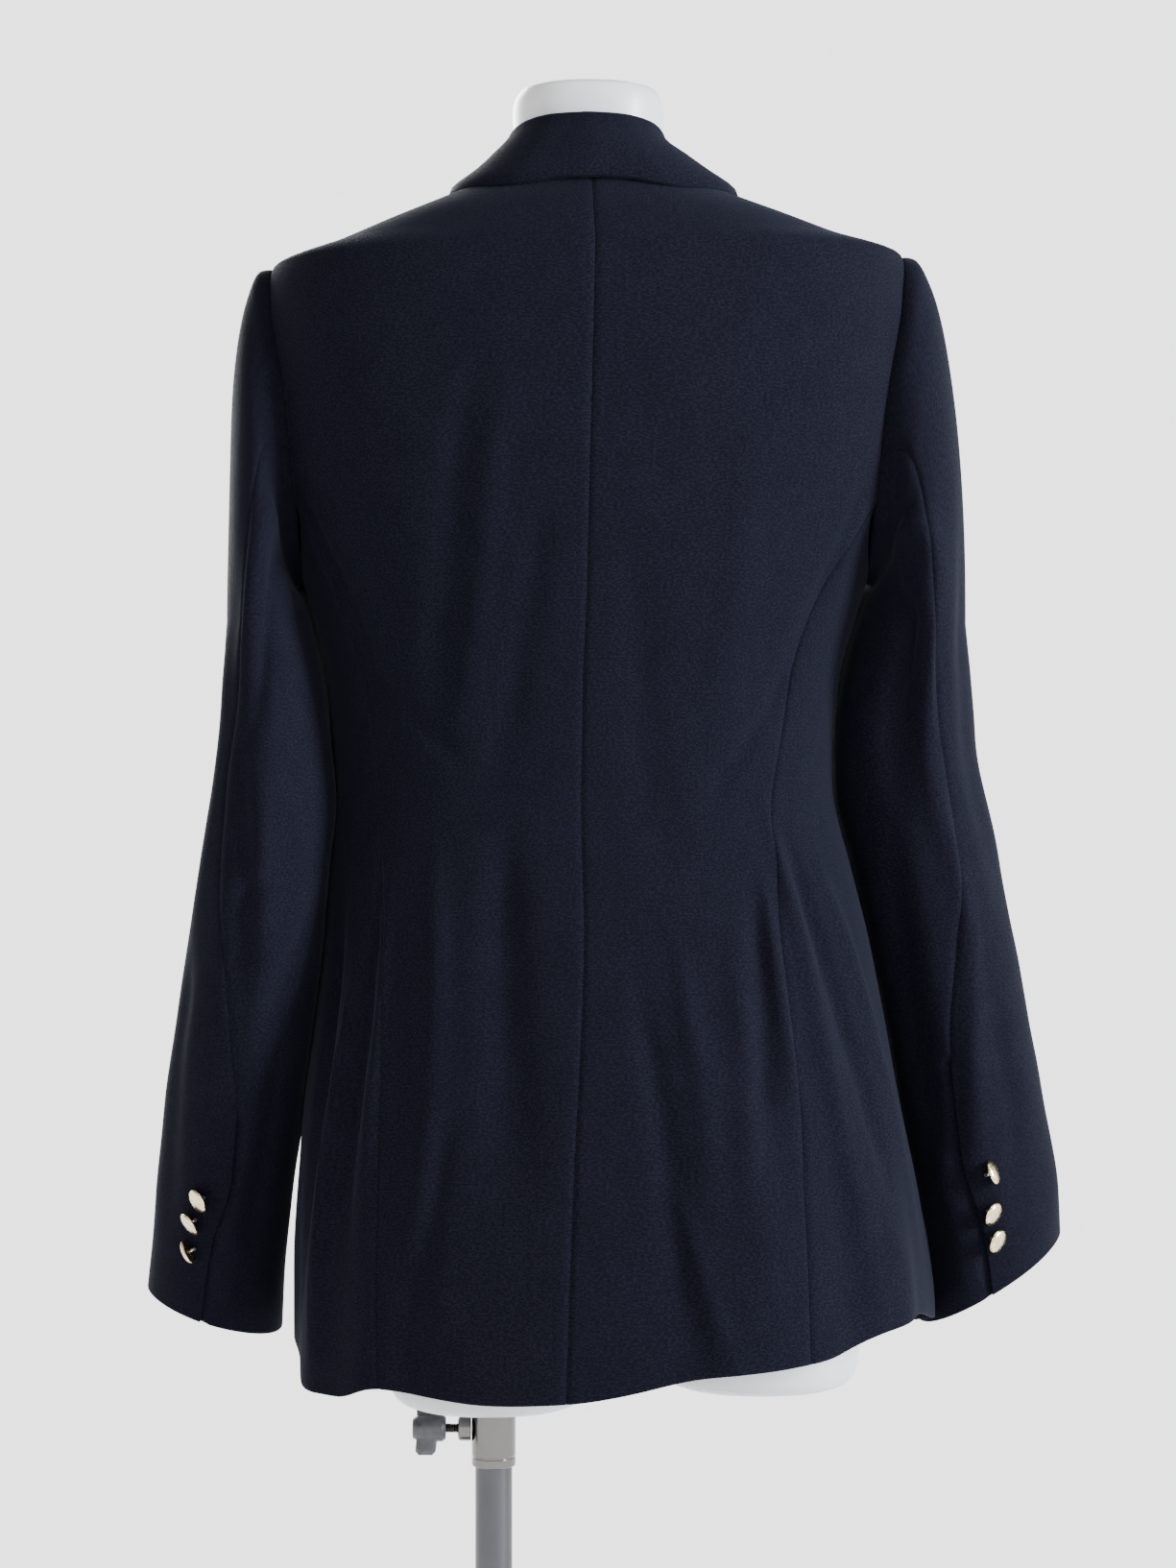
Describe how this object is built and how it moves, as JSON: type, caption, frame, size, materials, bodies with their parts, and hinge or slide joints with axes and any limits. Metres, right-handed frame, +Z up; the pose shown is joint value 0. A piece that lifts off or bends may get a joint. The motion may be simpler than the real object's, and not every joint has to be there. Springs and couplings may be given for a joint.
{
  "type": "double-breasted blazer on a limbless dress form",
  "caption": "Dark double-breasted peak-lapel blazer with metal shank buttons, worn on a smooth limbless dress form that slides and turns on a clamped pole above a round base.",
  "frame": {"origin": "centre of the base plate's underside", "axes": "+Z up; the wearer's front faces -Y and the wearer's left side is +X"},
  "size_m": [0.5578, 0.38, 1.4941],
  "materials": {
    "navy_wool": "matte",
    "gilt_button": "polished",
    "white_form": "satin",
    "grey_steel": "satin",
    "bright_socket": "polished",
    "black_plastic": "satin"
  },
  "bodies": {
    "base": {"base_hub": "grey_steel", "base_plate": "grey_steel"},
    "post": {"pole": "grey_steel"},
    "figure": {"back_left": "navy_wool", "back_right": "navy_wool", "clamp_nut": "bright_socket", "collar": "navy_wool", "cuff_button_left_1": "gilt_button", "cuff_button_left_2": "gilt_button", "cuff_button_left_3": "gilt_button", "cuff_button_right_1": "gilt_button", "cuff_button_right_2": "gilt_button", "cuff_button_right_3": "gilt_button", "form_torso": "white_form", "front_button_inner_1": "gilt_button", "front_button_inner_2": "gilt_button", "front_button_inner_3": "gilt_button", "front_button_outer_1": "gilt_button", "front_button_outer_2": "gilt_button", "front_button_outer_3": "gilt_button", "front_left": "navy_wool", "front_right": "navy_wool", "lapel_left": "navy_wool", "lapel_right": "navy_wool", "pole_socket": "bright_socket", "side_left": "navy_wool", "side_right": "navy_wool", "sleeve_under_left": "navy_wool", "sleeve_under_right": "navy_wool", "sleeve_upper_left": "navy_wool", "sleeve_upper_right": "navy_wool"},
    "knob": {"clamp_knob": "black_plastic", "clamp_screw": "bright_socket"}
  },
  "joints": [
    {"name": "form_turn", "type": "hinge", "parent": "base", "child": "post", "pos_m": [0.056, 0.012, 0], "axis": [0, 0, 1], "continuous": true},
    {"name": "form_height", "type": "slide", "parent": "post", "child": "figure", "axis": [0, 0, 1], "range_m": [-0.06, 0.12]},
    {"name": "knob_turn", "type": "hinge", "parent": "figure", "child": "knob", "pos_m": [0.056, 0.012, 0.6974], "axis": [1, 0, 0], "range_deg": [-360, 0]}
  ]
}
